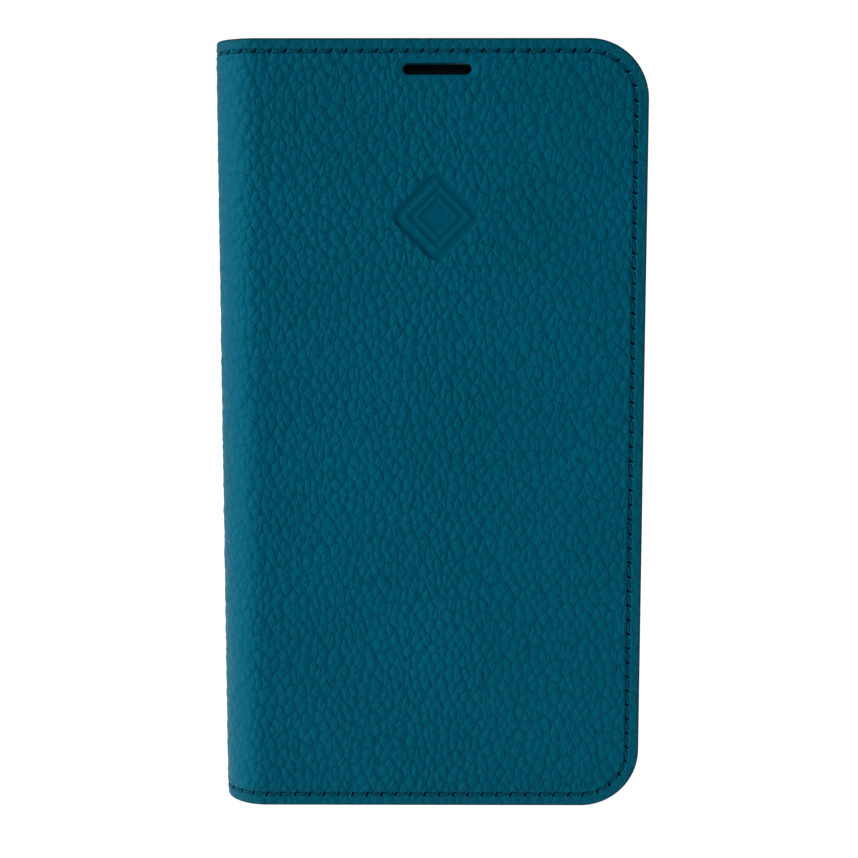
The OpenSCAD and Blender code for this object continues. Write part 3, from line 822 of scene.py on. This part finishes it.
def skin(name, side, opening, fine_u=(), fine_z=()):
    """The outer leather of one cover and its half of the spine, with painted edges."""
    shape = Shape("e", "s", "grain", "spine")
    u, z = cover_grid(fine_u, fine_z)
    number = np.arange(u.size).reshape(u.shape)
    u, z = u.ravel(), z.ravel()
    shape.add(u, z, 0.0, e=FAR, s=-FAR)
    quads = grid_faces(number)
    cut = opening.distance(u[quads].mean(1), z[quads].mean(1)) < CUT_MARGIN
    faces = quads[~cut].tolist()
    rims = [loop for loop in loops_of(faces) if not set(loop) & set(number[:, 0])]
    shape.fill(faces, FACE)
    rest = add_band(shape, number)
    u, z = shape.at["u"], shape.at["z"]
    for loop in rims:
        u[loop], z[loop] = opening.nearest(u[loop], z[loop], EDGE_ROUND)
    add_relief(shape, side, opening)
    for loop in rims:
        add_rim(shape, loop, opening, rest)
    shape.drop_unused()

    u, z, e, s = (shape.at[key] for key in ("u", "z", "e", "s"))
    pressed = ornament_press(u, z)[0] * (side == FRONT)
    made = shape.made(name, side, [LEATHER_LOOK, EDGE_LOOK], {
        "flow": np.stack([-side * u, z, 0 * u], -1),
        "grain": shape.at["grain"],
        "spine": shape.at["spine"],
        "seam": np.stack([s / STEP, e, pressed], -1),
    })
    # the large flat faces don't take part in the smooth shading
    for face in made.data.polygons:
        if face.loop_total > 100:
            for corner in face.loop_indices:
                made.data.edges[made.data.loops[corner].edge_index].use_edge_sharp = True
    return made


LEATHER_LOOK = leather_material()
EDGE_LOOK = edge_material()

slot_opening = Outline(from_x(SHELL_X), SLOT_Z, SLOT_L, SLOT_W, SLOT_W / 2)
camera_opening = Outline(from_x(CAMERA_X), CAMERA_Z, CAMERA_W, CAMERA_W, CAMERA_R)
around_it = ORNAMENT_SIZE / 2 + 0.8
front_skin = skin(
    "front_skin", FRONT, slot_opening,
    fine_u=[(from_x(SHELL_X) - around_it, from_x(SHELL_X) + around_it, FINE_STEP)],
    fine_z=[(ORNAMENT_Z - around_it, ORNAMENT_Z + around_it, FINE_STEP)],
)
back_skin = skin("back_skin", BACK, camera_opening)


def bends(piece):
    """Moves the piece's placement into its mesh."""
    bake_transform(piece)


for piece, side, node in (
    (front_skin, FRONT, "front_leather"), (back_skin, BACK, "back_leather"),
):
    bends(piece)
    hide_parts(node, "spine_leather")


# ---- Panels: linings, stiffeners and pockets ----

SOFT = 0.22                 # how far a pocket's edge is rounded
TRIM = 0.36                 # how far a lining stays inside the cover's edge
LINING_SOFT = 0.2
MOUTH_LINE, MOUTH_PRESS, MOUTH_LIFT = 1.5, 0.10, 0.05
POCKET_BOW = 0.16


def panel(name, side, outline, base, thick, looks, step=1.0, opening=None, relief=None, fine_u=(),
          u_min=None, soft=SOFT, shift=(0, 0)):
    """A sheet with rounded edges on a cover's inside. base(u) is the depth of its hidden face,
    relief(u, z) raises its seen face, and shift moves its grain. The last look is the edges'."""
    half_u, half_z = outline.half
    low_u, high_u = outline.u - half_u + soft, outline.u + half_u - soft
    low_z, high_z = outline.z - half_z + soft, outline.z + half_z - soft
    corner = max(outline.r) if np.ndim(outline.r) else outline.r
    ends = [(low_z, low_z + corner, step / 2), (high_z - corner, high_z, step / 2)]
    columns = spaced([low_u, high_u - corner, high_u], step, fine_u)
    rows = spaced([low_z, high_z], step, ends)
    u, z = (a.ravel() for a in np.meshgrid(columns, rows))
    quads = grid_faces(np.arange(len(u)).reshape(len(rows), len(columns)))
    # the grid stops a little short of each border, and its outer points then move onto it
    middle = u[quads].mean(1), z[quads].mean(1)
    kept = outline.distance(*middle) < -soft - 0.12
    if opening:
        kept &= opening.distance(*middle) > soft + 0.2
    faces = quads[kept].tolist()

    edges = []
    for loop in loops_of(faces):
        border = min([outline, opening or outline], key=lambda o: o.off(u[loop], z[loop]))
        inward = 1 if border is outline else -1
        u[loop], z[loop] = border.nearest(u[loop], z[loop], -inward * soft)
        edges.append((loop, border, inward))
    hidden_u, hidden_z = u.copy(), z.copy()
    for loop, border, inward in edges:
        hidden_u[loop], hidden_z[loop] = border.nearest(u[loop], z[loop], 0.0)

    shape = Shape()
    top = base(u) + thick + (relief(u, z) if relief else 0)
    shape.add(u, z, top)
    hidden = shape.add(hidden_u, hidden_z, base(u))
    shape.fill([f[::-1] for f in faces], 0)
    shape.fill(hidden[np.array(faces)].tolist(), 0)
    for loop, border, inward in edges:
        rings = [loop]
        for t in np.linspace(0, math.pi / 2, 5)[1:]:
            at = border.nearest(u[loop], z[loop], -inward * soft * (1 - math.sin(t)))
            rings.append(shape.add(*at, top[loop] - soft * (1 - math.cos(t))))
        rings.append(hidden[loop])
        for upper, lower in zip(rings, rings[1:]):
            quads = upper, lower, np.roll(lower, -1), np.roll(upper, -1)
            shape.fill(np.stack(quads, -1).tolist(), len(looks) - 1)
    if u_min is not None:
        shape.at["u"] = np.maximum(shape.at["u"], u_min)
    shape.drop_unused()
    u, z = shape.at["u"], shape.at["z"]
    flow = np.stack([u + shift[0], z + shift[1], 0 * u], -1)
    return shape.made(name, side, looks, {"flow": flow})


def depth_of(node):
    """A front CAD node's nearest depth behind the outer leather."""
    return corners(node)[0][1] + HALF_DEPTH


LINING_LOOK = lining_material()
POCKET_LOOK = fine_leather_material()
THREAD_LOOK = thread_material()
BOARD_LOOK = board_material()


def make_lining(name, side, opening, node):
    r = (0.5, CORNER_R - TRIM, CORNER_R - TRIM, 0.5)
    made = panel(
        name, side, Outline.between(-LINING_SOFT, U_FREE - TRIM, TRIM, HEIGHT - TRIM, r),
        lambda u: inside_depth(u) - LINING_T, LINING_T - 0.01, [LINING_LOOK], 1.1, opening,
        fine_u=[(0.0, U_ARC + 3.0, 0.45)], u_min=0.0, soft=LINING_SOFT, shift=(0, 40 * side),
    )
    bends(made)
    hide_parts(node, "spine_lining")


make_lining("front_microfibre", FRONT, slot_opening, "front_lining")
make_lining("back_microfibre", BACK, camera_opening, "back_lining")

STIFFENER_END = FLAT + SPINE_R * math.radians(43.5)
STIFFENER_TRIM = TRIM + 0.2
for name, side in (("stiffener_front_half", FRONT), ("stiffener_back_half", BACK)):
    made = panel(
        name, side,
        Outline.between(-LINING_SOFT, STIFFENER_END, STIFFENER_TRIM, HEIGHT - STIFFENER_TRIM, 0.4),
        lambda u: LEATHER_T + 0.02 + 0 * u, STIFFENER_T - 0.05, [BOARD_LOOK], 0.9,
        u_min=0.0, soft=0.15,
    )
    bends(made)
    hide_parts("spine_stiffener")


def creased_mouth(distance):
    """A pressed line beside a pocket's mouth, and the slightly full edge that it leaves."""
    line = np.exp(-(((distance - MOUTH_LINE) / 0.22) ** 2))
    edge = 1 - smoothstep(distance, 0.3, MOUTH_LINE)
    return -MOUTH_PRESS * line + MOUTH_LIFT * edge


def card_relief(node):
    """The relief of a card pocket: its creased mouth, which bows out a little in the middle."""
    low, high = corners(node)
    middle, half, mouth = from_x((low[0] + high[0]) / 2), (high[0] - low[0]) / 2, high[2]

    def relief(u, z):
        across = 1 - np.clip((u - middle) / half, -1, 1) ** 2
        return creased_mouth(mouth - z) + POCKET_BOW * np.exp(-(mouth - z) / 4.0) * across

    return relief


def pocket_panel(name, node, outline, step, **settings):
    """A pocket's sheet. It stands for its CAD node and lies at that node's depth."""
    depth = depth_of(node) + 0.01
    made = panel(name, FRONT, outline, lambda u: depth + 0 * u, POCKET_T - 0.02,
                 [POCKET_LOOK, EDGE_LOOK], step, **settings)
    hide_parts(node)
    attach(made, "front_cover")


CARD_POCKETS = ("card_pocket_upper", "card_pocket_middle", "card_pocket_lower")
bill_mouth = from_x(BILL_LOW[0])
pocket_panel(
    "bill_pocket_panel", "bill_pocket",
    Outline.between(bill_mouth, U_FREE - 0.25, 0.25, HEIGHT - 0.25, (0.6, 11.75, 11.75, 0.6)),
    0.9, opening=slot_opening, relief=lambda u, z: creased_mouth(u - bill_mouth),
    fine_u=[(bill_mouth, bill_mouth + 3, 0.2)],
)
for index, node in enumerate(CARD_POCKETS):
    low, high = corners(node)
    outline = Outline.between(from_x(low[0]), from_x(high[0]), low[2], high[2], 2.0)
    pocket_panel(node + "_panel", node, outline, 0.8, relief=card_relief(node),
                 shift=(17 * index + 120, 31 * index))


# ---- Stitching ----

SLANT = math.radians(8)
AROUND, ALONG = 12, 17      # points round a thread and rings along a stitch
TWIST = 1.5                 # mm of thread for one turn of its two strands
THREAD_SUNK = 0.33
INNER_SUNK = 0.02


def stitch_template():
    """One stitch: along, across and height in mm, of a twisted thread that dives at both ends."""
    t = np.linspace(-1, 1, ALONG)[:, None]
    a = np.linspace(0, 2 * math.pi, AROUND, endpoint=False)[None, :]
    along = t * (STITCH_L / 2 + 0.12)
    r = THREAD_W / 2 * (1 - 0.45 * np.abs(t) ** 6)
    r = r * (1 + 0.14 * np.cos(2 * (a - 2 * math.pi * along / TWIST)))
    height = -0.62 * np.abs(t) ** 5
    return (along + 0 * a).ravel(), (r * np.cos(a)).ravel(), (height + r * np.sin(a)).ravel()


def thread_piece(name, side, rows):
    """Stitches at (u, z, direction, depth, outward) each. outward is -1 where the thread stands
    out of the outer leather, and 1 where it stands into the case."""
    x, y, h = stitch_template()
    number = np.arange(len(x)).reshape(ALONG, AROUND)
    closed = np.append(number, number[:, :1], axis=1)
    quads = grid_faces(closed).tolist() + [number[0, ::-1].tolist(), number[-1].tolist()]
    shape = Shape("along", "across", "out")
    for index, (u, z, way, depth, outward) in enumerate(rows):
        way -= SLANT * outward
        points = shape.add(
            u + x * math.cos(way) - y * math.sin(way), z + x * math.sin(way) + y * math.cos(way),
            depth + outward * h, along=x + 5.3 * index, across=y, out=h,
        )
        order = 1 if outward < 0 else -1
        shape.fill([points[q].tolist()[::order] for q in quads], 0)
    flow = np.stack([shape.at[key] for key in ("along", "across", "out")], -1)
    made = shape.made(name, side, [THREAD_LOOK], {"flow": flow})
    return made


def seam_rows(side):
    """The outer stitches of a cover, and the same ones where they show on its inside. The front
    has none across the note pocket's mouth."""
    rows = []
    for i in range(STITCHES):
        u, z, way = seam((i + 0.5) * STEP)
        rows.append((u, z, way, THREAD_SUNK, -1))
        inside = float(inside_depth(u))
        if side == FRONT and u > bill_mouth + 1.6:
            inside += POCKET_T
        elif side == FRONT and u > bill_mouth - 1.4:
            continue
        rows.append((u, z, way, inside - INNER_SUNK, 1))
    return rows


for name, side, node in (
    ("front_stitching", FRONT, "front_thread"), ("back_stitching", BACK, "back_thread"),
):
    made = thread_piece(name, side, seam_rows(side))
    bends(made)
    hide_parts(node, "spine_thread")


def straight_rows(u0, z0, way, length, depth):
    count = int(length / PITCH)
    at = (np.arange(count) + 0.5) * length / count
    return [(u0 + a * math.cos(way), z0 + a * math.sin(way), way, depth, 1) for a in at]


def pocket_rows():
    """The stitches up both sides of the card pockets and along their bottom. Each pocket's sides
    are sewn from the mouth below up to its own, through one layer less than the last."""
    low, high = corners("card_pocket_lower")
    mouths = [corners(node)[1][2] for node in reversed(CARD_POCKETS)]
    inset = 1.5
    bottom = low[2] + inset
    rows = []
    for x in (low[0] + inset, high[0] - inset):
        for layer, (z0, z1) in enumerate(zip([bottom + 1, *mouths], mouths)):
            depth = COVER_T + (4 - layer) * POCKET_T
            rows += straight_rows(from_x(x), z0, math.pi / 2, z1 - z0, depth)
    width = high[0] - low[0] - 2 * inset
    start = from_x(low[0] + inset) + 1
    return rows + straight_rows(start, bottom, 0.0, width - 2, COVER_T + 4 * POCKET_T)


pocket_stitching = thread_piece("pocket_stitching", FRONT, pocket_rows())
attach(pocket_stitching, "front_cover")
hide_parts("pocket_thread")


# ---- Camera, light and floor ----

SENSOR_MM = 36.0
FOCAL_PX, IMAGE_PX = 1582.0, 858.0
CAMERA_AT = (0.00161, -0.3285, 0.11875)
CAMERA_DOWN, CAMERA_TURN = 7.05, 0.33       # degrees
SKY_LIGHT, SKY_SEEN = rgb(0.22, 0.23, 0.25), rgb(1.05, 1.05, 1.05)
FLOOR_HALF = 6.0 / MM


def staged(name, data, location=(0, 0, 0), faces=None):
    """A camera or light in the scene. It shines from the direction faces."""
    made = bpy.data.objects.new(name, data)
    made.location = location
    if faces is not None:
        made.rotation_euler = Vector(faces).to_track_quat("Z", "Y").to_euler()
    bpy.context.scene.collection.objects.link(made)
    return made


def camera():
    data = bpy.data.cameras.new("camera")
    data.sensor_width = SENSOR_MM
    data.lens = FOCAL_PX / IMAGE_PX * SENSOR_MM
    data.clip_start, data.clip_end = 0.01, 20.0
    made = staged("camera", data, CAMERA_AT)
    made.rotation_euler = (math.radians(90 - CAMERA_DOWN), 0.0, math.radians(CAMERA_TURN))
    bpy.context.scene.camera = made


def sun(name, towards, strength, spread, colour=(1, 1, 1)):
    """A soft distant light that shines from the direction towards. spread is in degrees."""
    data = bpy.data.lights.new(name, "SUN")
    data.energy, data.angle, data.color = strength, math.radians(spread), colour
    staged(name, data, faces=towards)


def lamp(name, location, target, power, size):
    """A small soft light close by, which lights the nearer side a little more."""
    data = bpy.data.lights.new(name, "AREA")
    data.energy, data.size = power, size
    made = staged(name, data, location, faces=Vector(location) - Vector(target))
    made.visible_camera = False


def floor():
    """A pale floor that is white to the eye."""
    low, high = -FLOOR_HALF, FLOOR_HALF
    points = np.array([(low, low, 0), (high, low, 0), (high, high, 0), (low, high, 0)])
    look = Look("pale_floor", rgb(0.14, 0.14, 0.14), 0.8, 0.0,
                emission_color=rgb(1, 1, 1), emission_strength=0.98)
    mesh_object("floor", points, [[0, 1, 2, 3]], [look.material])


def world():
    """White to the eye and dim to the light, so that the studio lights shape the leather."""
    made = bpy.data.worlds.new("studio")
    made.use_nodes = True
    g = Graph(made.node_tree)
    seen = g.node("ShaderNodeLightPath", {}, out=0)
    shade = g.mix(seen, SKY_LIGHT, SKY_SEEN)
    made.node_tree.links.new(shade, made.node_tree.nodes["Background"].inputs["Color"])
    bpy.context.scene.world = made


camera()
world()
floor()
sun("key", (-1.0, -0.55, 0.60), 2.55, 12)
lamp("near", (-0.25, -0.15, 0.03), (0.0, -0.01, 0.078), 0.29, 0.16)
lamp("low", (0.0, -0.14, 0.02), (0.0, -0.01, 0.02), 0.026, 0.10)
sun("left", (-1.0, 0.05, 0.35), 0.9, 40, (0.68, 0.97, 1.0))
sun("right", (1.0, 0.15, 0.45), 1.2, 40)
sun("back", (0.20, 1.0, 0.9), 1.2, 40)
bpy.context.scene.view_settings.view_transform = "Standard"


# ---- Materials of the CAD pieces that stay ----

def dress(look, *nodes):
    for name in nodes:
        node = frame["nodes"][name]
        for slot in node.material_slots:
            slot.material = look
        if not node.material_slots:
            node.data.materials.append(look)


dress(BOARD_LOOK, "front_board", "back_board")
dress(steel_material(), "front_magnets", "back_keepers")
dress(tape_material(), "shell_adhesive")
dress(shell_material(), "phone_shell", "volume_up_button", "volume_down_button", "side_button")
